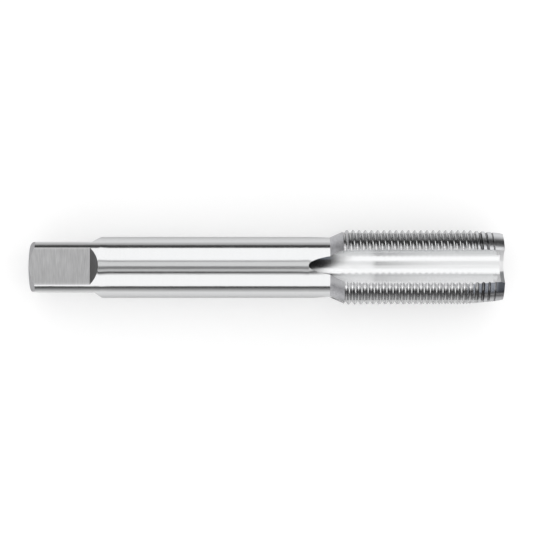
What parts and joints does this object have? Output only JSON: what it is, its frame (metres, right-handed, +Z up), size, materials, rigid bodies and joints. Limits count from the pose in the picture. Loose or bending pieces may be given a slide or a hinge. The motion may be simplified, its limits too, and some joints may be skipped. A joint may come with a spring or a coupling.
{
  "type": "thread tap",
  "caption": "Straight-flute hand tap lying on its side: square drive end, plain round shank and fluted cutting thread with a tapered lead, for cutting internal threads.",
  "frame": {"origin": "bottom centre of the bounding box of the tap lying at rest on a floor", "axes": "+X from the drive end to the cutting end, along the tool but for the 1.5 degrees that it slopes at rest; +Y to its side; +Z up"},
  "size_m": [0.1154, 0.0182, 0.0188],
  "materials": {
    "tool_steel": "bright ground tool steel; the square's flats are satin milled"
  },
  "bodies": {
    "root": {"thread_tap": "tool_steel"}
  },
  "joints": []
}
